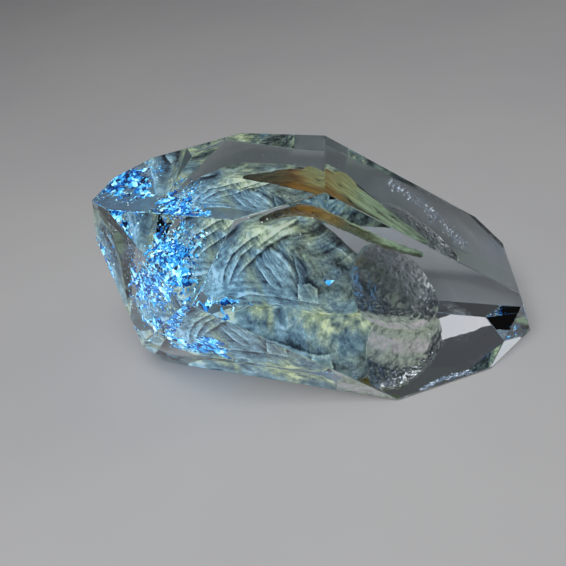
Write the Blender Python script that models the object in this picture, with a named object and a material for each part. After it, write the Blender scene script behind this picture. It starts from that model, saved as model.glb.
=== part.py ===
"""Petroleum quartz: a clear, doubly terminated quartz crystal with petroleum sealed inside it.

The crystal is flattened on one pair of tip faces and lies on the lower one of them. It is parted in two along
an upright plane through the sealed pieces, so that each of them lies in an open pocket. The origin is on the
surface that the crystal lies on, at the middle of its box. +X runs along the crystal, and the viewer's side
is -Y.
"""

import math

import bmesh
import bpy
from mathutils import Vector, noise

MM = 0.001
GAP = 0.3

# A tip face's normal leans 51.79 degrees from the c axis in quartz, and a side face's 90 degrees.
# Each kind has six faces, 60 degrees apart about the axis, counted here from the top towards the viewer.
TIP_LEAN = 51.79
SIDE_LEAN = 90
CLOCK = {
    "top": 0,
    "upper_front": 60,
    "lower_front": 120,
    "bottom": 180,
    "lower_back": 240,
    "upper_back": 300,
}

# Distance of every face from the growth centre, in mm. The crystal lies on the right tip's bottom face.
SIDE_FACES = {
    "top": 7.36,
    "upper_front": 6.16,
    "lower_front": 5.14,
    "bottom": 6.35,
    "lower_back": 6.10,
    "upper_back": 6.46,
}
RIGHT_TIP_FACES = {
    "top": 11.68,
    "upper_front": 10.99,
    "lower_front": 7.89,
    "bottom": 3.15,
    "lower_back": 5.45,
    "upper_back": 10.00,
}
LEFT_TIP_FACES = {
    "top": 6.87,
    "upper_front": 7.93,
    "lower_front": 7.34,
    "bottom": 7.92,
    "lower_back": 7.19,
    "upper_back": 8.40,
}
# The blunt face across the left tip: clock angle, lean from the right-hand end of the axis, distance.
LEFT_BEVEL = (218.4, 153.6, 9.55)
BLOCK = 60

# The upright parting plane: how far it is turned about Z in degrees, and a point on it in mm.
PARTING_HEADING = 12
PARTING_POINT = (-6.4, 2.2)

# The petroleum stands on edge in the crystal, along a line turned about Z. Each sealed piece is a pod about a
# row of stations, in mm from this line's start: along it, out from it towards the viewer, the pod's bottom and
# top there, and its half thickness. Shoulder and foot say how square its upper and lower edges are, and blunt
# how square its ends are. Lean is how far along it shifts for each mm up, and rake how far along and how far up
# it shifts for each mm out. Fold and roughness are shares of its half size.
SEALED_HEADING = 26
SEALED_START = (1.6, 1.0)
OIL_LOBE = {
    "stations": [
        (-8.9, 1.9, 0.9, 2.7, 0.45),
        (-7.4, 0.9, 0.65, 4.4, 0.8),
        (-5.6, 0.25, 0.65, 5.4, 1.3),
        (-3.2, 0.1, 0.65, 5.7, 1.6),
        (-1.7, 0.05, 0.65, 5.2, 1.5),
        (-0.5, 0.0, 0.65, 4.1, 1.2),
    ],
    "shoulder": 2.4,
    "foot": 3.2,
    "blunt": 3.6,
    "lean": -0.26,
    "rake": (0.0, 0.0),
    "rings": 24,
    "sides": 32,
    "fold": 0.05,
    "roughness": 0.04,
}
ROUGH_LOBE = {
    "stations": [
        (0.4, 0.0, 0.65, 4.1, 1.3),
        (1.6, 0.0, 0.65, 3.95, 1.6),
        (3.2, 0.0, 0.65, 3.5, 1.5),
        (4.5, 0.0, 0.65, 2.7, 1.2),
    ],
    "shoulder": 2.6,
    "foot": 7.0,
    "blunt": 7.0,
    "lean": -0.2,
    "rake": (0.0, 0.0),
    "rings": 20,
    "sides": 28,
    "fold": 0.0,
    "roughness": 0.05,
}
BLUE_OIL_CLUSTER = {
    "stations": [
        (-9.0, 2.6, 2.9, 4.4, 0.3),
        (-7.8, 3.2, 3.6, 5.0, 0.9),
        (-6.4, 4.5, 4.7, 5.8, 1.3),
        (-5.0, 6.0, 5.9, 6.8, 1.1),
        (-3.9, 7.2, 6.9, 7.5, 0.6),
    ],
    "shoulder": 2.0,
    "foot": 2.0,
    "blunt": 2.2,
    "lean": 0.0,
    "rake": (0.0, -0.48),
    "rings": 20,
    "sides": 22,
    "fold": 0.0,
    "roughness": 0.25,
}
BITUMEN_STREAK = {
    "stations": [
        (-4.6, 1.3, 6.1, 6.4, 0.4),
        (-2.9, 1.4, 6.75, 7.15, 0.9),
        (-1.2, 1.5, 7.15, 7.6, 1.4),
        (0.8, 1.3, 6.35, 6.75, 1.5),
        (2.7, 1.2, 5.65, 6.0, 1.2),
        (4.8, 1.1, 5.2, 5.45, 0.8),
    ],
    "shoulder": 2.0,
    "foot": 2.0,
    "blunt": 2.0,
    "lean": 0.0,
    "rake": (0.7, 0.68),
    "rings": 22,
    "sides": 14,
    "fold": 0.0,
    "roughness": 0.2,
}

# A pod's folds run across it in waves, and its lumps are smooth noise; both are in turns or lumps per mm.
FOLDS_ALONG = 1.9
FOLDS_UP = 1.1
SLANT_ALONG = 0.4
SLANT_UP = 0.9
LUMPS = 1.3

# Two corners of the cut block closer than this, in mm, are one corner, and a cut snaps to a corner this close.
SAME_CORNER = 0.001
CUT_SNAP = 0.0001


def crystal_axes():
    """The c axis, then the way across it that leans up, then the viewer's side."""
    tilt = math.radians(90 - TIP_LEAN)
    along = Vector((math.cos(tilt), 0, -math.sin(tilt)))
    upright = Vector((math.sin(tilt), 0, math.cos(tilt)))
    front = Vector((0, -1, 0))
    return along, upright, front


def face_normal(clock, lean):
    """Outward normal of the face at a clock angle about the c axis, leaning from its right-hand end."""
    along, upright, front = crystal_axes()
    turn = math.radians(clock)
    lean = math.radians(lean)
    outward = math.cos(turn) * upright + math.sin(turn) * front
    return math.sin(lean) * outward + math.cos(lean) * along


def crystal_faces():
    """Every face as its normal and its distance from the growth centre in mm."""
    faces = []
    for lean, distances in (
        (SIDE_LEAN, SIDE_FACES),
        (TIP_LEAN, RIGHT_TIP_FACES),
        (180 - TIP_LEAN, LEFT_TIP_FACES),
    ):
        for name, distance in distances.items():
            faces.append((face_normal(CLOCK[name], lean), distance))
    clock, lean, distance = LEFT_BEVEL
    faces.append((face_normal(clock, lean), distance))
    return faces


def cut(mesh, point, normal):
    """Cuts away what lies beyond a plane and closes the cut with one flat face."""
    everything = mesh.verts[:] + mesh.edges[:] + mesh.faces[:]
    made = bmesh.ops.bisect_plane(
        mesh, geom=everything, plane_co=point, plane_no=normal, dist=CUT_SNAP * MM, clear_outer=True
    )
    rim = [item for item in made["geom_cut"] if isinstance(item, bmesh.types.BMEdge)]
    if rim:
        bmesh.ops.contextual_create(mesh, geom=rim)


def crystal_mesh():
    """The whole crystal about its growth centre, in metres: a block cut by each face's plane."""
    mesh = bmesh.new()
    bmesh.ops.create_cube(mesh, size=BLOCK * MM)
    for normal, distance in crystal_faces():
        cut(mesh, normal * distance * MM, normal)
    bmesh.ops.remove_doubles(mesh, verts=mesh.verts, dist=SAME_CORNER * MM)
    return mesh


def growth_centre():
    """Where the growth centre stands when the crystal's box is centred over the origin and touches z = 0."""
    mesh = crystal_mesh()
    points = [vert.co.copy() for vert in mesh.verts]
    mesh.free()
    low = Vector([min(point[axis] for point in points) for axis in range(3)])
    high = Vector([max(point[axis] for point in points) for axis in range(3)])
    return Vector((-(low.x + high.x) / 2, -(low.y + high.y) / 2, -low.z))


def upright_axes(heading):
    """The way along an upright plane that is turned about Z, and the way out of it towards the viewer."""
    turn = math.radians(heading)
    along = Vector((math.cos(turn), -math.sin(turn), 0))
    out = Vector((-math.sin(turn), -math.cos(turn), 0))
    return along, out


def sealed_point(along, out, up):
    """World point of a place in the petroleum's own plane, in metres."""
    way_along, way_out = upright_axes(SEALED_HEADING)
    start = Vector((*SEALED_START, up))
    return (start + along * way_along + out * way_out) * MM


def on_stations(stations, t):
    """The stations' five values at t from 0 to 1, on a smooth curve through them."""
    spans = len(stations) - 1
    span = min(int(t * spans), spans - 1)
    s = t * spans - span
    p0, p1, p2, p3 = [stations[min(max(span + step, 0), spans)] for step in (-1, 0, 1, 2)]
    values = []
    for a, b, c, d in zip(p0, p1, p2, p3):
        bend = 2 * a - 5 * b + 4 * c - d + s * (3 * (b - c) + d - a)
        values.append(b + s * (c - a + s * bend) / 2)
    return values


def swell(pod, along, out, up):
    """How far a pod's skin stands out or in at a point, as a share of its half size."""
    folds = math.sin(FOLDS_ALONG * along + FOLDS_UP * up) * math.cos(SLANT_UP * up - SLANT_ALONG * along)
    lumps = noise.noise(Vector((along, out, up)) * LUMPS)
    return 1 + pod["fold"] * folds + pod["roughness"] * lumps


def rounded(value, squareness):
    """A sine or cosine made squarer, so that a ring goes from an ellipse towards a box."""
    return math.copysign(abs(value) ** (2 / squareness), value)


def ring_point(pod, values, end, angle, grow):
    """World point on a pod's skin, at an angle round the ring that stands at one place along it."""
    along, out, bottom, top, half_thickness = values
    middle = (bottom + top) / 2
    half_height = (top - bottom) / 2
    squareness = pod["shoulder"] if math.sin(angle) > 0 else pod["foot"]
    rise = rounded(math.sin(angle), squareness)
    side = rounded(math.cos(angle), squareness)
    skin = (along, out + side * half_thickness, middle + rise * half_height)
    scale = end * (swell(pod, *skin) if rise > 0 else 1)
    rise = rise * half_height * scale + grow * rise
    side = side * half_thickness * scale + grow * side
    rake_along, rake_up = pod["rake"]
    return sealed_point(
        along + pod["lean"] * rise + rake_along * side, out + side, middle + rise + rake_up * side
    )


def pod_mesh(pod, grow=0.0):
    """A closed pod along its stations: upright rings, and a point at each end."""
    mesh = bmesh.new()
    rings = []
    for ring in range(1, pod["rings"] + 1):
        t = (1 - math.cos(math.pi * ring / (pod["rings"] + 1))) / 2
        values = on_stations(pod["stations"], t)
        end = (1 - abs(2 * t - 1) ** pod["blunt"]) ** (1 / pod["blunt"])
        angles = [2 * math.pi * side / pod["sides"] for side in range(pod["sides"])]
        rings.append([mesh.verts.new(ring_point(pod, values, end, angle, grow)) for angle in angles])
    for lower, upper in zip(rings, rings[1:]):
        for side in range(pod["sides"]):
            after = (side + 1) % pod["sides"]
            mesh.faces.new((lower[side], lower[after], upper[after], upper[side]))
    for ring, t, way in ((rings[0], 0, -1), (rings[-1], 1, 1)):
        along, out, bottom, top = on_stations(pod["stations"], t)[:4]
        pole = mesh.verts.new(sealed_point(along + way * grow, out, (bottom + top) / 2))
        for side in range(pod["sides"]):
            mesh.faces.new((ring[side], ring[(side + 1) % pod["sides"]], pole))
    bmesh.ops.recalc_face_normals(mesh, faces=mesh.faces)
    return mesh


def new_object(name, mesh, material=None):
    data = bpy.data.meshes.new(name)
    mesh.to_mesh(data)
    mesh.free()
    made = bpy.data.objects.new(name, data)
    bpy.context.scene.collection.objects.link(made)
    if material:
        data.materials.append(material)
    return made


def new_material(name, colour, roughness, transmission=0.0, ior=1.5, glow=0.0):
    material = bpy.data.materials.new(name)
    material.use_nodes = True
    shader = material.node_tree.nodes["Principled BSDF"]
    shader.inputs["Base Color"].default_value = (*colour, 1)
    shader.inputs["Roughness"].default_value = roughness
    shader.inputs["Metallic"].default_value = 0
    shader.inputs["Transmission Weight"].default_value = transmission
    shader.inputs["IOR"].default_value = ior
    shader.inputs["Emission Color"].default_value = (*colour, 1)
    shader.inputs["Emission Strength"].default_value = glow
    return material


def crystal_half(name, way, pockets, centre, material):
    """One half of the crystal: what lies on one side of the parting plane, less half the gap between them."""
    out = upright_axes(PARTING_HEADING)[1] * way
    mesh = crystal_mesh()
    bmesh.ops.translate(mesh, vec=centre, verts=mesh.verts)
    cut(mesh, Vector((*PARTING_POINT, 0)) * MM + out * GAP / 2 * MM, -out)
    bmesh.ops.recalc_face_normals(mesh, faces=mesh.faces)
    half = new_object(name, mesh, material)
    for pocket in pockets:
        modifier = half.modifiers.new(pocket.name, "BOOLEAN")
        modifier.operation = "DIFFERENCE"
        modifier.solver = "EXACT"
        modifier.object = pocket
    return half


def main():
    for old in list(bpy.data.objects):
        bpy.data.objects.remove(old)
    quartz = new_material("clear_quartz", (0.93, 0.95, 0.96), 0.02, 1.0, 1.544)
    pods = {
        "oil_lobe": (OIL_LOBE, new_material("pale_oil", (0.62, 0.66, 0.42), 0.35, 0.4, 1.45, 0.2)),
        "rough_lobe": (ROUGH_LOBE, new_material("rough_oil_wall", (0.4, 0.43, 0.38), 0.4, 0.4)),
        "blue_oil_cluster": (
            BLUE_OIL_CLUSTER,
            new_material("blue_oil", (0.05, 0.42, 0.95), 0.25, 0.2, 1.45, 1.5),
        ),
        "bitumen_streak": (BITUMEN_STREAK, new_material("bitumen", (0.45, 0.22, 0.05), 0.3, 0.3)),
    }
    pockets = []
    for name, (pod, material) in pods.items():
        new_object(name, pod_mesh(pod), material)
        pocket = new_object(name + "_pocket", pod_mesh(pod, GAP))
        pocket.hide_render = True
        pocket.display_type = "WIRE"
        pockets.append(pocket)
    centre = growth_centre()
    crystal_half("crystal_front_half", 1, pockets, centre, quartz)
    crystal_half("crystal_back_half", -1, pockets, centre, quartz)


main()
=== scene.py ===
"""Looks of the petroleum quartz: the clear crystal, the oil sealed inside it, and a plain studio."""

import math

import bmesh
import bpy
import numpy as np
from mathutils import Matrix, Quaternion, Vector, noise


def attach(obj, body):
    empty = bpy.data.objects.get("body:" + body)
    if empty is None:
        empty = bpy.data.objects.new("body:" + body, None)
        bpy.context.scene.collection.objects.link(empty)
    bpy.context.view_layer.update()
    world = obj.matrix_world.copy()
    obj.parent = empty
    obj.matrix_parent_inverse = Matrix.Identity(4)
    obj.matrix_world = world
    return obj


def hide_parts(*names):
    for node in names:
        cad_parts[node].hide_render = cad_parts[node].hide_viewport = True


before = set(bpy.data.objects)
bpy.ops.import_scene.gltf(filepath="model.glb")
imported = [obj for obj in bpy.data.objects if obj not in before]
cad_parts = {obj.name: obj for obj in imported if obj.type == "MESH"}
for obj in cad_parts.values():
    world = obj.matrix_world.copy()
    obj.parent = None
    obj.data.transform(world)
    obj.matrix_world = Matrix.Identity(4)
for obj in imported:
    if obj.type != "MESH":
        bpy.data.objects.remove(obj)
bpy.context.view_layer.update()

MM = 0.001
BODY = "root"
BLACK = (0.0, 0.0, 0.0)
WHITE = (1.0, 1.0, 1.0)

# The petroleum stands on edge in the crystal, in an upright plane turned about Z. Places inside the crystal
# are given in mm along, out of and up this plane.
PLANE_HEADING = math.radians(26)
PLANE_START = np.array([1.6, 1.0, 0.0])
PLANE_ALONG = np.array([math.cos(PLANE_HEADING), -math.sin(PLANE_HEADING), 0.0])
PLANE_OUT = np.array([-math.sin(PLANE_HEADING), -math.cos(PLANE_HEADING), 0.0])
PLANE_UP = np.array([0.0, 0.0, 1.0])

# Seen through the broad front face, a place moves this far along and up the plane for each mm out of it.
# Its sight is where it shows on the plane at the sight depth, as (along, up).
SIGHT_ALONG = -0.69
SIGHT_UP = -0.73
SIGHT_DEPTH = 1.2

# No sealed piece reaches lower than this, in mm.
LOWEST = 0.1


# Places in the petroleum's plane

def to_world(places):
    """World points in metres of places."""
    places = np.asarray(places, dtype=float)
    along, out, up = places[:, :1], places[:, 1:2], places[:, 2:3]
    return (PLANE_START + along * PLANE_ALONG + out * PLANE_OUT + up * PLANE_UP) * MM


def to_plane(points):
    """Places of world points in metres."""
    local = np.asarray(points) / MM - PLANE_START
    return np.stack([local @ PLANE_ALONG, local @ PLANE_OUT, local[:, 2]], axis=1)


def sight_of(places):
    """Where each place shows, along the photograph's rays in the crystal."""
    depth = SIGHT_DEPTH - places[:, 1]
    return np.stack([places[:, 0] - SIGHT_ALONG * depth, places[:, 2] - SIGHT_UP * depth], axis=1)


# Fields over many places at once

def smoothstep(low, high, values):
    """A soft step from 0 at low to 1 at high."""
    t = np.clip((values - low) / (high - low), 0, 1)
    return t * t * (3 - 2 * t)


def window(values, rise, fall):
    """0 outside and 1 inside two soft steps, each given as where it is 0 and where it is 1."""
    return smoothstep(*rise, values) * smoothstep(*fall, values)


def noise_at(places, scale, seed):
    """Smooth noise, about -1 to 1, at places in mm; scale is in lumps per mm."""
    shift = Vector((seed, 1.7 * seed, -2.3 * seed))
    return np.array([noise.noise(Vector(place) * scale + shift) for place in places])


def lumps(places, *layers):
    """A sum of noises, each given as its weight, scale and seed."""
    return sum(weight * noise_at(places, scale, seed) for weight, scale, seed in layers)


def ridges(places, *layers):
    """A sum of noises with sharp valleys at 0, each given as its weight, scale and seed."""
    return sum(weight * np.abs(noise_at(places, scale, seed)) for weight, scale, seed in layers)


# How fast the weight fades at a line's ends, in shares of its length
LINE_FADE = 5


def side_of_line(points, line):
    """Distance from a line of (along, up) points, positive on its left; a weight that fades at its ends;
    and how far along the line, in mm, each point lies."""
    line = np.asarray(line)
    spans = len(line) - 1
    nearest = np.full(len(points), np.inf)
    signed, weight, reach = np.zeros((3, len(points)))
    start = 0.0
    for index in range(spans):
        way = line[index + 1] - line[index]
        length = np.linalg.norm(way)
        way = way / length
        run = np.clip((points - line[index]) @ way, 0, length)
        off = points - (line[index] + run[:, None] * way)
        gap = np.hypot(off[:, 0], off[:, 1])
        side = way[0] * off[:, 1] - way[1] * off[:, 0]
        near = gap < nearest
        nearest[near] = gap[near]
        signed[near] = np.where(side[near] >= 0, gap[near], -gap[near])
        share = (index + run[near] / length) / spans
        weight[near] = np.clip(LINE_FADE * np.minimum(share, 1 - share), 0, 1)
        reach[near] = start + run[near]
        start += length
    return signed, weight, reach


# Meshes

WELD_DISTANCE = 0.002


def link(made):
    bpy.context.scene.collection.objects.link(made)
    return made


def mesh_points(mesh):
    points = np.empty(len(mesh.vertices) * 3)
    mesh.vertices.foreach_get("co", points)
    return points.reshape(-1, 3)


def mesh_normals(mesh):
    normals = np.empty(len(mesh.vertices) * 3)
    mesh.vertices.foreach_get("normal", normals)
    return normals.reshape(-1, 3)


def set_points(mesh, points, lowest=LOWEST):
    """Moves the mesh's vertices to these points, or straight up from them to the lowest height in mm."""
    points[:, 2] = np.maximum(points[:, 2], lowest * MM)
    mesh.vertices.foreach_set("co", np.asarray(points, dtype=np.float32).ravel())
    mesh.update()


def store(mesh, name, values):
    """Keeps one value for each vertex, for a material's Attribute node."""
    layer = mesh.attributes.new(name, "FLOAT", "POINT")
    layer.data.foreach_set("value", np.asarray(values, dtype=np.float32))


def delete_loose(mesh):
    bmesh.ops.delete(mesh, geom=[vert for vert in mesh.verts if not vert.link_faces], context="VERTS")


def drop_points(mesh, numbers=()):
    """Deletes the vertices with these numbers, and those then left without a face."""
    work = bmesh.new()
    work.from_mesh(mesh)
    work.verts.ensure_lookup_table()
    bmesh.ops.delete(work, geom=[work.verts[number] for number in numbers], context="VERTS")
    delete_loose(work)
    work.to_mesh(mesh)
    work.free()


def data_of(mesh, name):
    """Mesh data made from a bmesh, which is freed."""
    data = bpy.data.meshes.new(name)
    mesh.to_mesh(data)
    mesh.free()
    return data


def object_from_mesh(name, mesh, material):
    mesh.name = name
    mesh.materials.clear()
    mesh.materials.append(material)
    return link(bpy.data.objects.new(name, mesh))


def thicken(piece, thickness):
    made = piece.modifiers.new("thickness", "SOLIDIFY")
    made.thickness = thickness * MM


def skin_of(node, voxel, passes=12):
    """A fine, evenly meshed copy of a sealed node, smooth all over."""
    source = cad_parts[node]
    made = link(bpy.data.objects.new(node + "_skin", source.data.copy()))
    weld = made.modifiers.new("weld", "WELD")
    weld.merge_threshold = WELD_DISTANCE * MM
    rounding = made.modifiers.new("rounding", "SUBSURF")
    rounding.levels = rounding.render_levels = 1
    remesh = made.modifiers.new("remesh", "REMESH")
    remesh.mode = "VOXEL"
    remesh.voxel_size = voxel * MM
    smooth = made.modifiers.new("smooth", "SMOOTH")
    smooth.iterations = passes
    graph = bpy.context.evaluated_depsgraph_get()
    mesh = bpy.data.meshes.new_from_object(made.evaluated_get(graph))
    bpy.data.objects.remove(made)
    mesh.shade_smooth()
    return mesh


# Materials

def grey(level):
    return (level, level, level)


class Look:
    """A Principled material and short calls for the nodes that feed it."""

    def __init__(self, name, roughness, transmission=0.0, ior=1.5):
        self.material = bpy.data.materials.new(name)
        self.material.use_nodes = True
        self.tree = self.material.node_tree
        self.shader = self.tree.nodes["Principled BSDF"]
        self.set("Roughness", roughness)
        self.set("Transmission Weight", transmission)
        self.set("IOR", ior)

    def fill(self, socket, value):
        """Links a node's output to a socket, or sets a constant on it."""
        if isinstance(value, bpy.types.NodeSocket):
            self.tree.links.new(value, socket)
        elif socket.type == "RGBA":
            socket.default_value = (*value, 1)
        else:
            socket.default_value = value

    def set(self, name, value):
        self.fill(self.shader.inputs[name], value)

    def glowing(self, colour, strength):
        """Gives the surface a colour, and painted light of the same colour that it gives off, though it is
        no lamp.
        """
        self.set("Base Color", colour)
        self.set("Emission Color", colour)
        self.set("Emission Strength", strength)

    def node(self, kind, **inputs):
        made = self.tree.nodes.new("ShaderNode" + kind)
        for name, value in inputs.items():
            self.fill(made.inputs[name], value)
        return made

    def position(self, stretch=(1, 1, 1), turn=(0, 0, 0)):
        """The piece's own position in mm along turned axes, each multiplied by its stretch."""
        source = self.node("TexCoord").outputs["Object"]
        scale = tuple(MM / value for value in stretch)
        mapping = self.node("Mapping", Vector=source, Rotation=turn, Scale=scale)
        mapping.vector_type = "TEXTURE"
        return mapping.outputs["Vector"]

    def noise(self, scale, detail=3.0, rough=0.55, vector=None, distortion=0.0):
        vector = vector or self.position()
        settings = {"Scale": scale, "Detail": detail, "Roughness": rough, "Distortion": distortion}
        return self.node("TexNoise", Vector=vector, **settings).outputs["Fac"]

    def stored(self, name):
        made = self.node("Attribute")
        made.attribute_name = name
        return made.outputs["Fac"]

    def ramp(self, value, stops):
        """The colour at a value between stops, each given as its value and colour."""
        made = self.node("ValToRGB", Fac=value)
        ramp = made.color_ramp
        while len(ramp.elements) < len(stops):
            ramp.elements.new(0.5)
        for element, (place, colour) in zip(ramp.elements, stops):
            element.position = place
            element.color = (*colour, 1)
        return made.outputs["Color"]

    def maths(self, operation, *values):
        made = self.node("Math")
        made.operation = operation
        for socket, value in zip(made.inputs, values):
            self.fill(socket, value)
        return made.outputs["Value"]

    def mix(self, share, low, high, blend="MIX"):
        made = self.node("Mix")
        made.data_type = "RGBA"
        made.blend_type = blend
        sockets = {socket.identifier: socket for socket in made.inputs}
        for name, value in (("Factor_Float", share), ("A_Color", low), ("B_Color", high)):
            self.fill(sockets[name], value)
        return next(socket for socket in made.outputs if socket.identifier == "Result_Color")

    def times(self, colour, factor):
        return self.mix(1.0, colour, factor, "MULTIPLY")

    def bump(self, height, strength, distance):
        made = self.node("Bump", Height=height, Strength=strength, Distance=distance * MM)
        self.set("Normal", made.outputs["Normal"])


# The clear crystal

QUARTZ_IOR = 1.544
QUARTZ_TINT = (0.80, 0.86, 0.90)
QUARTZ_DENSITY = 140.0
EDGE_ROUNDING = 0.035
CORNER_MERGE = 0.001
FLAT_ANGLE = math.radians(0.5)
CLEAN_WALL = (0.93, 0.96, 0.97)
# Painted reflection: the pinkish white of a bright bar, reflected along the hollow's foot.
FOOT_REFLECTION_PINK = (0.74, 0.66, 0.67)
STROKE_TILT = math.radians(-125)


def quartz_look():
    look = Look("clear_quartz_look", roughness=0.0, transmission=1.0, ior=QUARTZ_IOR)
    look.set("Base Color", WHITE)
    absorption = look.node("VolumeAbsorption", Color=QUARTZ_TINT, Density=QUARTZ_DENSITY)
    look.fill(look.tree.nodes["Material Output"].inputs["Volume"], absorption.outputs["Volume"])
    look.bump(look.noise(0.5, 2.0, 0.5), strength=0.02, distance=0.1)
    return look.material


def etched_wall_look():
    """The quartz where it walls the hollow: etched, dusted with dried oil paled by painted light, and with a
    painted pinkish white reflection at its foot.
    """
    look = Look("etched_quartz_look", roughness=0.3, transmission=1.0, ior=QUARTZ_IOR)
    strokes = look.position((0.4, 1.1, 1.1), (0, STROKE_TILT, -PLANE_HEADING))
    # The dust value holds real dust and painted light: the wall is paler where it faces up and near its
    # foot.
    dust_and_painted_light = look.maths("ADD", look.noise(3.2, 7.0, 0.75, strokes), look.stored("dust_and_painted_light"))
    dust_and_light_stops = [(0.48, (0.005, 0.007, 0.012)), (0.60, (0.11, 0.135, 0.13)), (0.78, (0.56, 0.62, 0.5))]
    dust_and_light_colour = look.ramp(dust_and_painted_light, dust_and_light_stops)
    bare = look.ramp(dust_and_painted_light, [(0.34, WHITE), (0.42, grey(0.05))])
    # The foot band is a painted reflection of a bright pinkish bar.
    foot = look.maths("MULTIPLY", look.stored("foot"), look.noise(3.5, 5.0, 0.7, strokes))
    foot = look.ramp(foot, [(0.36, BLACK), (0.58, WHITE)])
    look.set("Base Color", look.mix(foot, look.mix(bare, dust_and_light_colour, CLEAN_WALL), FOOT_REFLECTION_PINK))
    look.set("Transmission Weight", look.mix(foot, bare, grey(0.2)))
    # The dust and the foot band give off painted light.
    look.set("Emission Color", look.mix(foot, look.mix(bare, dust_and_light_colour, BLACK), FOOT_REFLECTION_PINK))
    look.set("Emission Strength", 0.4)
    look.bump(look.noise(7.0, 4.0, 0.6), strength=0.6, distance=0.05)
    return look.material


def crystal_shell():
    """The whole crystal as one closed form with slightly worn edges, made from its two halves' corners."""
    mesh = bmesh.new()
    for name in ("crystal_front_half", "crystal_back_half"):
        for point in mesh_points(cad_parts[name].data):
            mesh.verts.new(point)
    bmesh.ops.convex_hull(mesh, input=mesh.verts)
    delete_loose(mesh)
    bmesh.ops.remove_doubles(mesh, verts=mesh.verts, dist=CORNER_MERGE * MM)
    bmesh.ops.dissolve_limit(mesh, angle_limit=FLAT_ANGLE, verts=mesh.verts, edges=mesh.edges)
    width = EDGE_ROUNDING * MM
    bmesh.ops.bevel(mesh, geom=mesh.edges[:], offset=width, segments=2, profile=0.5, affect="EDGES")
    bmesh.ops.recalc_face_normals(mesh, faces=mesh.faces)
    return mesh


def add_wall(mesh, cavity):
    """Joins the hollow's wall to the crystal, turned to face into the hollow, with the second material."""
    outside = set(mesh.faces)
    mesh.from_mesh(cavity)
    wall = [face for face in mesh.faces if face not in outside]
    bmesh.ops.reverse_faces(mesh, faces=wall)
    for face in wall:
        face.smooth = True
        face.material_index = 1


def store_dust_and_painted_light(data):
    """How much dried oil lies on the hollow's wall, more on its floor and near its foot, partly as painted
    light there, and where a painted pinkish white reflection lies: along the foot, on the viewer's side."""
    up = mesh_points(data)[:, 2] / MM
    inward = mesh_normals(data)
    # Painted light: the wall is paler where it faces up and towards its foot.
    floor = 0.8 * np.clip(inward[:, 2], -0.2, 0.2)
    store(data, "dust_and_painted_light", floor + 0.13 * smoothstep(2.4, 0.7, up) - 0.04)
    # Painted reflection: a pinkish white band along the foot, on the viewer's side.
    front = smoothstep(-0.2, 0.4, -(inward @ PLANE_OUT))
    store(data, "foot", window(up, (1.45, 0.85), (0.12, 0.4)) * front)


def make_crystal(cavity):
    """The clear crystal, with the hollow's wall inside it."""
    mesh = crystal_shell()
    data = bpy.data.meshes.new("clear_crystal")
    data.materials.append(quartz_look())
    data.materials.append(etched_wall_look())
    add_wall(mesh, cavity)
    mesh.to_mesh(data)
    mesh.free()
    store_dust_and_painted_light(data)
    crystal = link(bpy.data.objects.new("clear_crystal", data))
    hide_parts("crystal_front_half", "crystal_back_half")
    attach(crystal, BODY)


# How far the two lobes' skins are moved from their nodes, in mm, for the view through the glass

FOOT_DROP = 0.45
FOOT_BACK = 0.35
MEETING_BULGE = 0.35
LEFT_END_DROP = 0.26
LEFT_END_OUT = 0.2
RIGHT_END_DROP = 0.4
RIGHT_END_IN = 0.7
MEETING_GROWTH = 0.22


def settled(places):
    """The lobes' places with their feet drawn down and back, their meeting bulged and their ends moved."""
    along, out, up = places.T
    foot = smoothstep(1.7, 0.6, up)
    under = smoothstep(1.9, 0.6, up) * smoothstep(0.0, 0.9, out)
    left = smoothstep(-6.2, -8.2, along) * smoothstep(3.2, 1.4, up)
    right = smoothstep(1.5, 4.8, along)
    meeting = window(along, (-2.6, -0.5), (3.4, 1.1)) * window(up, (0.8, 2.6), (5.6, 3.9))
    drop = FOOT_DROP * foot + LEFT_END_DROP * left + RIGHT_END_DROP * right * smoothstep(1.0, 3.0, up)
    back = FOOT_BACK * (1 + smoothstep(0.0, 1.0, along)) * under
    shift = MEETING_BULGE * meeting - LEFT_END_OUT * left - RIGHT_END_IN * right
    return np.column_stack([along + shift, out - back, up - drop])


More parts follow.
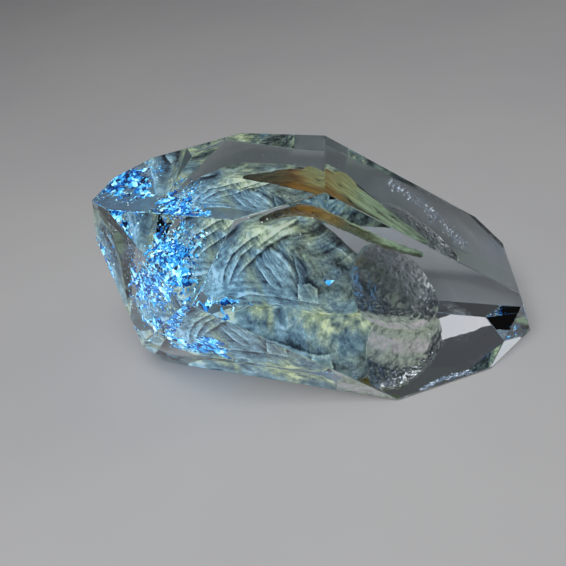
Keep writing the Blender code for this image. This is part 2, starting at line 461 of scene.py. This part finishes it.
# The pale oil's folds, as (along, up) points in its sight. Each line is the free edge of a sheet that lies
# to its left, with how high the sheet stands, over what width it falls back, and how deep it undercuts.
FOLD_EDGES = {
    "lip": (
        [(-7.3, 2.2), (-6.3, 3.15), (-5.45, 3.9), (-4.3, 4.8), (-3.3, 5.4), (-2.7, 5.9)],
        (0.26, 0.55, 0.18),
    ),
    "upper_lip": (
        [(-5.2, 4.4), (-4.4, 5.0), (-3.5, 5.65), (-2.65, 6.25), (-1.95, 6.9)],
        (0.14, 0.4, 0.08),
    ),
    "second_peak": (
        [(-0.5, 5.7), (-0.85, 6.35), (-1.1, 6.7), (-1.4, 6.4), (-1.6, 5.9)],
        (0.12, 0.3, 0.06),
    ),
    "blade_right": (
        [(-2.9, 2.3), (-3.1, 3.25), (-3.4, 3.8), (-3.85, 4.3), (-4.6, 4.7)],
        (0.2, 0.6, 0.2),
    ),
    "blade_left": (
        [(-5.6, 3.9), (-5.3, 3.15), (-5.0, 2.5), (-4.6, 1.95)],
        (0.1, 0.5, 0.12),
    ),
    "belt": (
        [(-8.2, 0.5), (-7.2, 1.1), (-6.5, 1.4), (-4.8, 1.5), (-2.6, 1.55), (-1.1, 1.45)],
        (0.12, 0.5, 0.12),
    ),
    "low_belt": (
        [(-6.9, 0.05), (-5.5, 0.4), (-4.2, 0.56), (-3.35, 0.9), (-2.5, 1.0), (-1.9, 0.7)],
        (0.06, 0.3, 0.06),
    ),
    "hook": (
        [(-1.93, 1.75), (-1.92, 2.4), (-2.3, 2.7), (-2.95, 2.5)],
        (0.07, 0.25, 0.1),
    ),
    "ridge": (
        [(0.95, 3.5), (0.74, 3.9), (0.24, 4.4), (-0.25, 4.93), (-1.3, 5.6)],
        (0.2, 0.45, 0.14),
    ),
    "petal": (
        [(-3.0, 4.4), (-2.9, 3.2), (-3.1, 1.9), (-3.5, 1.0)],
        (0.1, 0.3, 0.05),
    ),
    "outer_roll": (
        [(-9.6, 2.1), (-8.5, 3.7), (-7.4, 4.7), (-6.1, 5.7)],
        (0.08, 0.3, 0.04),
    ),
    "middle_roll": (
        [(-8.4, 1.4), (-7.75, 2.8), (-6.9, 3.9), (-5.5, 4.95), (-4.1, 5.7)],
        (0.12, 0.35, 0.05),
    ),
    "inner_roll": (
        [(-7.9, 1.6), (-7.3, 2.6), (-6.4, 3.8), (-5.1, 4.8)],
        (0.08, 0.25, 0.04),
    ),
}
# The crease width sets both the undercut and the painted shade in creases; the crest width sets the painted
# highlight along crests.
CREASE_WIDTH = 0.16
CREST_HIGHLIGHT_WIDTH = 0.12

# The lines that the pale oil's fine streaks follow: its crown, the blades below it, and the belt near its
# foot.
STREAK_LINES = {
    "crown": [
        (-9.6, 1.6), (-9.2, 3.0), (-8.3, 4.0), (-7.2, 5.0),
        (-6.2, 5.8), (-5.2, 6.1), (-3.5, 6.6), (-2.0, 7.0),
    ],
    "blades": [(-5.0, 5.0), (-4.0, 3.6), (-3.2, 2.4), (-2.8, 1.4)],
    "belt": [(-8.5, 0.4), (-6.5, 0.9), (-4.0, 0.9), (-1.5, 1.0)],
}
STREAK_STRETCH = 0.28
STREAK_BLEND = 0.15
STREAKS_APART = 9.0

# What the lobe's parts add to its lightness and to its yellowness
# In lightness, crest is a painted highlight and crease painted shade; under adds painted light to the skin's
# underside and behind adds painted shade where it faces back.
PALE_LIGHT = {
    "flow": 0.34, "patch": 0.14, "band": 0.20, "right": -0.40, "under": 0.14, "left": 0.10,
    "crest_highlight": 0.38, "crease_shade": -0.50, "under_mottle": 0.18, "behind_mottle": 0.18, "behind": -0.10,
}
PALE_YELLOW = {
    "patch": 0.30, "band": 0.20, "under": 0.25, "under_mottle": 0.30, "left": -0.30, "blade": -0.35,
    "behind": 0.25, "behind_mottle": 0.20,
}
PALE_LIGHT_START = 0.52
PALE_YELLOW_START = 0.28
PALE_OIL_VOXEL = 0.045
PALE_OIL_GROWTH = 0.1


def fold_relief(sight):
    """Height of the folds in mm, and how much each point lies on a crest, which gets a painted highlight, or
    in a crease, which gets painted shade.
    """
    height, crest_highlight, crease_shade = np.zeros((3, len(sight)))
    for line, (rise, width, cut) in FOLD_EDGES.values():
        side, weight = side_of_line(sight, line)[:2]
        over = side > 0
        sheet = np.where(over, np.exp(-side / width), 0)
        under = np.where(over, 0, np.exp(side / CREASE_WIDTH))
        height += weight * (rise * sheet - cut * under)
        crest_highlight = np.maximum(crest_highlight, weight * np.where(over, np.exp(-side / CREST_HIGHLIGHT_WIDTH), 0))
        crease_shade = np.maximum(crease_shade, weight * under)
    return height, crest_highlight, crease_shade


def streaks(sight):
    """Fine streaks, about -1 to 1, that run along the nearest streak line."""
    total, share = np.zeros((2, len(sight)))
    for number, line in enumerate(STREAK_LINES.values()):
        side, _, reach = side_of_line(sight, line)
        flow = np.stack([side, STREAK_STRETCH * reach, np.full(len(side), STREAKS_APART * number)], axis=1)
        near = 1 / (STREAK_BLEND + side**2) ** 2
        total += near * lumps(flow, (1.0, 2.2, 1.0), (0.9, 5.5, 2.0), (0.6, 10.0, 4.0))
        share += near
    return total / share


def pale_oil_parts(sight, places, normals):
    """How much every point of the pale oil's skin belongs to each part of the lobe, about 0 to 1, and the
    streaks and patches there, about -1 to 1."""
    along, up = sight.T
    below_crown = side_of_line(sight, STREAK_LINES["crown"])[0]
    past_ridge = side_of_line(sight, FOLD_EDGES["ridge"][0])[0]
    patch = noise_at(np.column_stack([sight, places[:, 1]]), 0.7, 5.0)
    mottle = lumps(places, (1.0, 2.3, 15.0), (0.6, 5.0, 16.0))
    calm = smoothstep(-3.4, -1.4, along) * smoothstep(4.4, 2.6, up)
    slope = smoothstep(0.0, -0.5, past_ridge) * smoothstep(-1.8, -0.6, along) * smoothstep(0.8, 1.6, up)
    middle = 0.45 * smoothstep(-3.2, -2.4, along) * smoothstep(1.8, 2.6, up)
    # Painted light on the skin's underside and painted shade where it faces back, beside their yellower
    # colour.
    under = smoothstep(0.1, 0.8, -normals[:, 2])
    behind = smoothstep(0.0, -0.6, normals @ PLANE_OUT) * (1 - under)
    return {
        "flow": streaks(sight) * (1 - calm) + 0.7 * mottle * calm,
        "patch": patch,
        "band": np.exp(-((below_crown + 0.85) ** 2) / 0.5) * window(along, (-7.2, -5.6), (-0.5, -2.0)),
        "right": np.maximum(slope, middle),
        "left": smoothstep(-5.6, -7.6, along),
        "blade": window(along, (-5.6, -5.2), (-3.2, -3.6)) * smoothstep(4.6, 4.2, up),
        "under": under,
        "under_mottle": under * mottle,
        "behind": behind,
        "behind_mottle": behind * mottle,
    }


def weighed(parts, weights):
    """The sum of the named parts, each times its weight."""
    return sum(weight * parts[name] for name, weight in weights.items())


def pale_oil_look():
    look = Look("pale_oil_look", roughness=0.34, transmission=0.15, ior=1.2)
    fine = look.noise(6.5, 7.0, 0.8, look.position((1, 1, 0.8)), distortion=0.8)
    fine = look.maths("MULTIPLY", look.maths("SUBTRACT", fine, 0.5), 1.3)
    tone = look.ramp(
        look.maths("ADD", look.stored("light"), fine),
        [
            (0.0, (0.010, 0.012, 0.014)),
            (0.20, (0.05, 0.062, 0.068)),
            (0.42, (0.17, 0.215, 0.21)),
            (0.66, (0.38, 0.45, 0.38)),
            (0.95, (0.88, 0.94, 0.82)),
        ],
    )
    patches = look.maths("SUBTRACT", look.noise(1.3, 4.0, 0.6), 0.5)
    hue = look.ramp(
        look.maths("ADD", look.stored("yellow"), patches),
        [(0.1, (0.74, 0.98, 1.30)), (0.45, (0.95, 1.0, 0.92)), (0.9, (1.04, 1.04, 0.68))],
    )
    # The lobe gives off painted light.
    look.glowing(look.times(tone, hue), 0.6)
    look.set("Coat Weight", 0.5)
    look.set("Coat Roughness", 0.12)
    look.bump(look.noise(6.0, 6.0, 0.7), strength=0.6, distance=0.05)
    return look.material


def make_pale_oil():
    mesh = skin_of("oil_lobe", PALE_OIL_VOXEL)
    normals = mesh_normals(mesh)
    places = settled(to_plane(mesh_points(mesh)))
    sight = sight_of(places)
    seen = smoothstep(-0.4, 0.2, normals @ PLANE_OUT) * smoothstep(-0.45, -0.05, normals[:, 2])
    height, crest_highlight, crease_shade = [seen * value for value in fold_relief(sight)]
    # Crests get a painted highlight and creases painted shade.
    parts = pale_oil_parts(sight, places, normals) | {"crest_highlight": crest_highlight, "crease_shade": crease_shade}
    growth = PALE_OIL_GROWTH + MEETING_GROWTH * smoothstep(-1.4, -0.4, places[:, 0])
    grain = lumps(places, (0.05, 1.6, 3.0), (0.03, 4.5, 7.0)) + 0.015 * streaks(sight)
    set_points(mesh, to_world(places) + normals * ((growth + height + grain) * MM)[:, None])
    store(mesh, "light", PALE_LIGHT_START + weighed(parts, PALE_LIGHT))
    store(mesh, "yellow", PALE_YELLOW_START + weighed(parts, PALE_YELLOW))
    lobe = object_from_mesh("pale_oil_folds", mesh, pale_oil_look())
    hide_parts("oil_lobe")
    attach(lobe, BODY)


# The rough lobe: an etched hollow in the quartz, with thin patches of dried oil on its wall

ROUGH_VOXEL = 0.07
WALL_GROWTH = 0.24
RESIDUE_GROWTH = 0.15
RESIDUE_THICKNESS = 0.05
RESIDUE_LIFT = 0.1
RESIDUE_COVER = -0.25


def etched(places):
    """Stepped, pitted relief of an etched wall, in mm."""
    steps = np.array([noise.cell(Vector(place) * 4.0 + Vector((2.0, 0, 0))) for place in places])
    return 0.03 * steps - 0.11 * ridges(places, (1.0, 3.2, 2.0), (0.5, 6.0, 6.0))


def rough_skin(growth, lowest):
    """The rough lobe's etched skin, grown by so many mm and more where it meets the pale lobe, its settled
    places, and its normals before the etching."""
    mesh = skin_of("rough_lobe", ROUGH_VOXEL)
    normals = mesh_normals(mesh)
    places = to_plane(mesh_points(mesh))
    growth = growth + MEETING_GROWTH * smoothstep(1.4, 0.4, places[:, 0])
    places = settled(places)
    set_points(mesh, to_world(places) + normals * ((growth + etched(places)) * MM)[:, None], lowest)
    return mesh, places, normals


def residue_look():
    look = Look("rough_residue_look", roughness=0.35, ior=1.4)
    tint = look.ramp(
        look.maths("ADD", look.noise(4.0, 6.0, 0.8), look.stored("light")),
        [
            (0.40, (0.006, 0.008, 0.012)),
            (0.52, (0.030, 0.040, 0.048)),
            (0.66, (0.15, 0.19, 0.18)),
            (0.82, (0.50, 0.56, 0.44)),
        ],
    )
    # The residue gives off painted light.
    look.glowing(tint, 0.35)
    look.bump(look.noise(9.0), strength=0.6, distance=0.05)
    return look.material


def make_residue():
    """Thin patches of dried oil that cling to the hollow's wall: the skin, holed where noise is low."""
    mesh, places, normals = rough_skin(RESIDUE_GROWTH, LOWEST + RESIDUE_LIFT)
    # Painted light: the residue is lighter where it faces up and towards its foot.
    light = 0.1 * smoothstep(0.3, 0.9, normals[:, 2]) + 0.16 * smoothstep(2.6, 1.0, places[:, 2])
    store(mesh, "light", light)
    cover = lumps(places, (1.0, 1.4, 11.0), (0.7, 3.5, 13.0), (0.4, 7.0, 15.0))
    drop_points(mesh, np.flatnonzero(cover < RESIDUE_COVER).tolist())
    residue = object_from_mesh("rough_oil_residue", mesh, residue_look())
    thicken(residue, RESIDUE_THICKNESS)
    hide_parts("rough_lobe")
    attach(residue, BODY)


# The blue oil's films. Each wall that they lie on is a corner, two ways across it and the way out of it, in
# mm as places are. The fan opens from below the edge between the two front facets, the low slips lie near
# the lower front face, and the last lies flat near the base.

FAN = np.array([
    (-1.47, 7.22, 9.82), (-0.254, 0.661, -0.706), (-0.58, -0.669, -0.465), (-0.773, 0.272, 0.573),
])
LOW_WALL = np.array([(-7.2, 6.8, 2.4), (1.0, 0.0, -0.3), (0.15, 0.12, 1.0), (0.0, -0.8, 0.0)])
BASE_WALL = np.array([(-8.9, 2.0, 0.9), (1.0, 0.0, 0.0), (0.0, 1.0, 0.1), (0.0, 0.0, 1.0)])
SECOND_FILM_OUT = 0.9
FILM_STEP = 0.05
FILM_CRUMPLE = 0.9
FILM_THICKNESS = 0.012
# The way that the film's painted glints favour: facets facing along it are painted brighter.
PAINTED_GLINT_WAY = np.array([0.35, 0.75, 0.56])
BLUE_SPOT = (-0.55, 1.95, 3.45)
BLUE_CHIP = (-5.9, 2.1, 1.1)


def blue_oil_look():
    look = Look("blue_oil_look", roughness=0.2, ior=1.4)
    flakes = look.node("TexVoronoi", Vector=look.position(), Scale=3.6)
    chance = look.node("SeparateColor", Color=flakes.outputs["Color"]).outputs["Red"]
    level = look.maths("MULTIPLY", chance, look.maths("MULTIPLY", look.noise(0.9, 4.0, 0.65), 1.7))
    colour = look.ramp(
        look.maths("ADD", level, look.maths("MULTIPLY", look.stored("glint"), 0.25)),
        [
            (0.10, (0.001, 0.004, 0.02)),
            (0.26, (0.002, 0.03, 0.16)),
            (0.44, (0.012, 0.14, 0.46)),
            (0.62, (0.05, 0.38, 0.74)),
            (0.80, (0.22, 0.72, 0.90)),
            (1.0, (0.65, 0.92, 0.95)),
        ],
    )
    # The film gives off painted light in place of the oil's blue fluorescence, brighter on its painted
    # glints.
    look.glowing(colour, 1.2)
    return look.material


def off_middle(values, low, high):
    """How far values lie from the middle of their span: 0 there and 1 at its ends."""
    return np.abs(2 * (values - low) / (high - low) - 1)


def crumpled_film(wall, first_span, second_span, least, seed):
    """A crumpled film of oil over a wall, torn where noise is under the least: places, faces between them,
    and how brightly each place shows a painted glint."""
    start, first, second, out = wall
    rows = int((first_span[1] - first_span[0]) / FILM_STEP)
    columns = int((second_span[1] - second_span[0]) / FILM_STEP)
    u, v = np.meshgrid(np.linspace(*first_span, rows), np.linspace(*second_span, columns), indexing="ij")
    u, v = u.ravel(), v.ravel()
    flat = np.column_stack([u, v, np.zeros(len(u))])
    folds = ridges(flat, (1.0, 0.8, seed), (0.5, 2.0, seed + 3), (0.25, 4.5, seed + 5))
    places = start + u[:, None] * first + v[:, None] * second + (FILM_CRUMPLE * folds)[:, None] * out

    grid = places.reshape(rows, columns, 3)
    normal = np.cross(np.gradient(grid, axis=0), np.gradient(grid, axis=1)).reshape(-1, 3)
    normal /= np.linalg.norm(normal, axis=1)[:, None] + 1e-9
    # Painted glint: facets that face along one fixed way, from either side, are painted brighter.
    glint = np.clip(1.6 * np.abs(normal @ PAINTED_GLINT_WAY) - 0.5, 0, 1)

    whole = lumps(flat, (1.0, 0.9, seed + 8), (0.7, 2.4, seed + 9), (0.35, 6.0, seed + 2))
    rim = np.maximum(off_middle(u, *first_span), off_middle(v, *second_span))
    keep = whole - 1.2 * np.clip(rim - 0.6, 0, 1) > least
    corner = np.arange(rows * columns).reshape(rows, columns)
    around = (corner[:-1, :-1], corner[1:, :-1], corner[1:, 1:], corner[:-1, 1:])
    quads = np.stack(around, axis=-1).reshape(-1, 4)
    return places, quads[keep[quads].all(axis=1)].tolist(), glint


def flake(middle, size, seed):
    """One small flat flake of oil with an uneven outline, in the same form as a film."""
    chance = np.random.default_rng(seed)
    side = chance.normal(size=3)
    side /= np.linalg.norm(side)
    other = np.cross(side, chance.normal(size=3))
    other /= np.linalg.norm(other)
    corners = chance.integers(5, 9)
    turns = np.sort(chance.uniform(0, 2 * math.pi, corners))
    reach = size * chance.uniform(0.5, 1.0, corners)
    rim = np.asarray(middle) + (reach * np.cos(turns))[:, None] * side
    rim += (0.6 * reach * np.sin(turns))[:, None] * other
    return rim, [tuple(range(corners))], np.full(corners, chance.uniform(0.2, 1.0))


def flakes_over(wall, low, high, count, seed):
    """Flakes scattered over a wall, between two bounds along its ways and out of it."""
    start, first, second, out = wall
    chance = np.random.default_rng(seed)
    made = []
    for number in range(count):
        u, v, h = chance.uniform(low, high)
        middle = start + u * first + v * second + h * out
        size = 0.04 + 0.16 * chance.uniform() ** 2
        made.append(flake(middle, size, seed * 1000 + number))
    return made


def film_object(name, films, material):
    """One thin mesh of several films, each given as places, faces and glint."""
    places, faces, glints = zip(*films)
    starts = np.cumsum([0, *map(len, places)]).tolist()
    corners = [[start + corner for corner in face] for start, own in zip(starts, faces) for face in own]
    mesh = bpy.data.meshes.new(name)
    mesh.from_pydata(to_world(np.concatenate(places)).tolist(), [], corners)
    store(mesh, "glint", np.concatenate(glints))
    drop_points(mesh)
    film = object_from_mesh(name, mesh, material)
    thicken(film, FILM_THICKNESS)
    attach(film, BODY)
    return film


def make_blue_oil():
    second_wall = np.array([FAN[0] + SECOND_FILM_OUT * FAN[3], *FAN[1:]])
    films = [
        crumpled_film(FAN, (1.4, 4.6), (2.2, 10.4), -0.14, 1.0),
        crumpled_film(second_wall, (1.9, 4.4), (4.0, 10.0), -0.05, 21.0),
        *flakes_over(FAN, (0.8, 2.0, 0.0), (4.8, 10.4, 1.8), count=700, seed=3),
    ]
    look = blue_oil_look()
    film = film_object("blue_oil_film", films, look)
    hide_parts("blue_oil_cluster")
    slips = [
        crumpled_film(LOW_WALL, (0.0, 3.9), (0.0, 2.0), -0.22, 31.0),
        *flakes_over(LOW_WALL, (0.0, 0.0, 0.0), (4.0, 2.1, 0.8), count=90, seed=4),
        crumpled_film(BASE_WALL, (0.0, 2.6), (0.0, 2.6), -0.2, 31.0),
        flake(BLUE_SPOT, size=0.42, seed=987),
        flake(BLUE_CHIP, size=0.7, seed=8),
    ]
    slips = film_object("blue_oil_slips", slips, look)


# A healed crack under the top: a row of small flakes, made bright by painted light, along this line of
# places, spread across it

VEIL_LINE = np.array([
    (1.45, -2.27, 6.52), (2.58, -2.40, 5.67), (3.75, -2.15, 4.93), (4.95, -1.79, 4.20), (6.0, -1.25, 3.80),
])
VEIL_ACROSS = np.array([0.25, -0.92, 0.27])
VEIL_FLAKES = 480
VEIL_SPREAD = 0.28
VEIL_STRAY = 0.06
VEIL_LENGTHENING = 1.5


def veil_look():
    look = Look("veil_look", roughness=0.3, ior=1.4)
    tone_stops = [(0.2, (0.04, 0.055, 0.08)), (0.6, (0.25, 0.31, 0.38)), (0.9, (0.85, 0.9, 0.95))]
    patches = look.ramp(look.noise(2.0), [(0.3, (0.6, 0.65, 0.75)), (0.7, WHITE)])
    # The flakes give off painted light standing in for their glints.
    look.glowing(look.times(look.ramp(look.stored("glint"), tone_stops), patches), 0.9)
    return look.material


def make_veil():
    chance = np.random.default_rng(12)
    flakes = []
    for number in range(VEIL_FLAKES):
        t = chance.uniform(0, len(VEIL_LINE) - 1.001)
        start = VEIL_LINE[int(t)]
        middle = start + (t - int(t)) * (VEIL_LINE[int(t) + 1] - start)
        middle = middle + chance.normal(0, VEIL_STRAY, 3) + chance.normal(0, VEIL_SPREAD) * VEIL_ACROSS
        rim, faces, glint = flake(middle, 0.03 + 0.09 * chance.uniform() ** 3, 7000 + number)
        rim += VEIL_LENGTHENING * ((rim - middle) @ VEIL_ACROSS)[:, None] * VEIL_ACROSS
        flakes.append((rim, faces, glint))
    film_object("healed_crack", flakes, veil_look())


# The amber streak

AMBER_VOXEL = 0.045
AMBER_PASSES = 5
AMBER_GROWTH = 0.1

# The streak's run is 0 here, along the plane in sight, and 1 so many mm further.
RUN_START = -5.2
RUN_LENGTH = 10.0


def amber_look():
    """Brown, amber, then green along the streak's run, and shaded where it stands far out or faces down."""
    look = Look("amber_look", roughness=0.15, transmission=0.35, ior=1.1)
    along_streak = look.position((0.3, 1.6, 1.6), (0, 0, -PLANE_HEADING))
    lines = look.noise(1.6, 6.0, 0.7, along_streak, distortion=0.6)
    grain = look.ramp(lines, [(0.34, grey(0.12)), (0.46, grey(0.7)), (0.62, grey(1.1))])
    lit = look.ramp(
        look.stored("run"),
        [
            (0.0, (0.03, 0.03, 0.02)),
            (0.26, (0.10, 0.09, 0.04)),
            (0.36, (0.14, 0.08, 0.02)),
            (0.40, (0.28, 0.18, 0.055)),
            (0.44, (0.32, 0.31, 0.12)),
            (0.56, (0.36, 0.42, 0.20)),
            (0.62, (0.36, 0.50, 0.30)),
            (1.0, (0.26, 0.38, 0.27)),
        ],
    )
    shaded = look.ramp(
        look.stored("run"),
        [
            (0.15, (0.05, 0.03, 0.01)),
            (0.36, (0.25, 0.135, 0.02)),
            (0.48, (0.20, 0.115, 0.025)),
            (0.60, (0.05, 0.04, 0.02)),
        ],
    )
    shade = look.maths("MULTIPLY", look.stored("shade"), 0.85)
    # The streak gives off painted light.
    look.glowing(look.mix(shade, look.times(lit, grain), look.times(shaded, grain)), 0.5)
    look.set("Coat Weight", 0.4)
    return look.material


def make_amber():
    mesh = skin_of("bitumen_streak", AMBER_VOXEL, AMBER_PASSES)
    points = mesh_points(mesh)
    normals = mesh_normals(mesh)
    places = to_plane(points)
    sight = sight_of(places)[:, 0]
    growth = AMBER_GROWTH + lumps(places, (0.06, 1.4, 5.0), (0.05, 4.0, 6.0))
    tongue = np.exp(-((sight + 0.2) / 0.6) ** 4) * np.clip(0.9 - places[:, 1], 0, 2)
    wider = places - tongue[:, None] * np.array([-SIGHT_ALONG, 1.0, -SIGHT_UP])
    points += normals * (growth * MM)[:, None] + to_world(wider) - to_world(places)
    set_points(mesh, points)
    run = sight + 0.25 * noise_at(places, 0.9, 8.0)
    store(mesh, "run", (run - RUN_START) / RUN_LENGTH)
    far_out = smoothstep(1.9, 2.5, places[:, 1])
    store(mesh, "shade", np.maximum(far_out, smoothstep(0.1, 0.5, -normals[:, 2])))
    streak = object_from_mesh("amber_streak", mesh, amber_look())
    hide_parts("bitumen_streak")
    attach(streak, BODY)


# White specks in the quartz, which give off painted light

SPECKS = [
    (-4.34, 2.53, 7.16), (-4.25, -0.33, 7.58), (-1.41, 3.01, 7.14), (-1.12, 2.76, 6.72),
    (-1.86, 0.44, 7.98), (-2.76, 3.03, 7.56), (-5.37, 2.05, 7.98), (-0.9, 1.82, 7.15),
    (-0.2, -0.01, 8.4), (-7.33, 7.05, 2.71), (-1.84, 4.6, 8.41), (4.76, 1.32, 0.6),
    (-5.54, 5.69, 8.38), (-8.3, 6.37, 8.39),
]
SPECK_RADIUS = 0.035


def speck_look():
    look = Look("speck_look", roughness=0.3)
    look.glowing(look.ramp(look.noise(9.0), [(0.3, (0.7, 0.75, 0.75)), (0.7, WHITE)]), 0.8)
    return look.material


def make_specks():
    mesh = bmesh.new()
    for place in to_world(SPECKS):
        made = bmesh.ops.create_icosphere(mesh, subdivisions=1, radius=SPECK_RADIUS * MM)
        bmesh.ops.translate(mesh, vec=Vector(place), verts=made["verts"])
    specks = object_from_mesh("white_specks", data_of(mesh, "white_specks"), speck_look())
    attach(specks, BODY)


# The studio, and the photograph's view: where the camera aims, from which side, how far off, and its lens.
# All lengths are in mm.

CAMERA_AIM = Vector((-1.789, -0.364, 3.150))
CAMERA_AZIMUTH = math.radians(8.87)
CAMERA_ELEVATION = math.radians(35.12)
CAMERA_ROLL = math.radians(-11.05)
CAMERA_DISTANCE = 42.445
CAMERA_LENS = 49.5
SENSOR_WIDTH = 36
CLIP_START = 1.0
FLOOR_RADIUS = 600
FLOOR_DROP = 0.02
WORLD_COLOUR = (0.08, 0.08, 0.085)
ROSE = (1.0, 0.94, 0.94)


def floor_look():
    look = Look("floor_look", roughness=0.75)
    look.set("Base Color", look.ramp(look.noise(0.05), [(0.3, (0.56, 0.56, 0.57)), (0.7, grey(0.6))]))
    return look.material


def make_floor():
    mesh = bmesh.new()
    bmesh.ops.create_circle(mesh, cap_ends=True, segments=96, radius=FLOOR_RADIUS * MM)
    floor = object_from_mesh("floor", data_of(mesh, "floor"), floor_look())
    floor.location = (0, 0, -FLOOR_DROP * MM)


def way_towards(turn, rise):
    """The way that runs so far to the right of straight back, and so far up from level."""
    return Vector((math.sin(turn) * math.cos(rise), math.cos(turn) * math.cos(rise), math.sin(rise)))


def point_along(thing, way, roll=0.0):
    """Turns a light or a camera to look along a way."""
    thing.rotation_mode = "QUATERNION"
    thing.rotation_quaternion = way.to_track_quat("-Z", "Y") @ Quaternion((0, 0, 1), roll)


def soft_box(name, azimuth, elevation, distance, size, power, tint=WHITE):
    """An area light in mm about the crystal; azimuth runs from straight behind it towards the right."""
    data = bpy.data.lights.new(name, "AREA")
    data.shape = "RECTANGLE"
    data.size = size[0] * MM
    data.size_y = size[1] * MM
    data.energy = power
    data.color = tint
    light = link(bpy.data.objects.new(name, data))
    way = way_towards(math.radians(azimuth), math.radians(elevation))
    light.location = CAMERA_AIM * MM + way * distance * MM
    point_along(light, -way)
    light.visible_camera = False


def make_studio():
    make_floor()
    soft_box("key_light", azimuth=-168, elevation=66, distance=120, size=(80, 80), power=0.10)
    soft_box(
        "back_strip", azimuth=-24, elevation=38.2, distance=150, size=(120, 5.4), power=0.0014, tint=ROSE
    )
    soft_box("end_panel", azimuth=-53, elevation=16, distance=150, size=(34, 30), power=0.0024)
    soft_box("rim_light", azimuth=75, elevation=35, distance=150, size=(60, 60), power=0.01)
    world = bpy.data.worlds.new("studio")
    world.use_nodes = True
    world.node_tree.nodes["Background"].inputs["Color"].default_value = (*WORLD_COLOUR, 1)
    bpy.context.scene.world = world
    bpy.context.scene.view_settings.view_transform = "Standard"


def make_camera():
    data = bpy.data.cameras.new("camera")
    data.lens = CAMERA_LENS
    data.sensor_width = SENSOR_WIDTH
    data.clip_start = CLIP_START * MM
    camera = link(bpy.data.objects.new("camera", data))
    way = way_towards(-CAMERA_AZIMUTH, -CAMERA_ELEVATION)
    camera.location = (CAMERA_AIM - way * CAMERA_DISTANCE) * MM
    point_along(camera, way, CAMERA_ROLL)
    bpy.context.scene.camera = camera


make_camera()
make_studio()
make_crystal(rough_skin(WALL_GROWTH, LOWEST)[0])
make_pale_oil()
make_residue()
make_blue_oil()
make_amber()
make_veil()
make_specks()
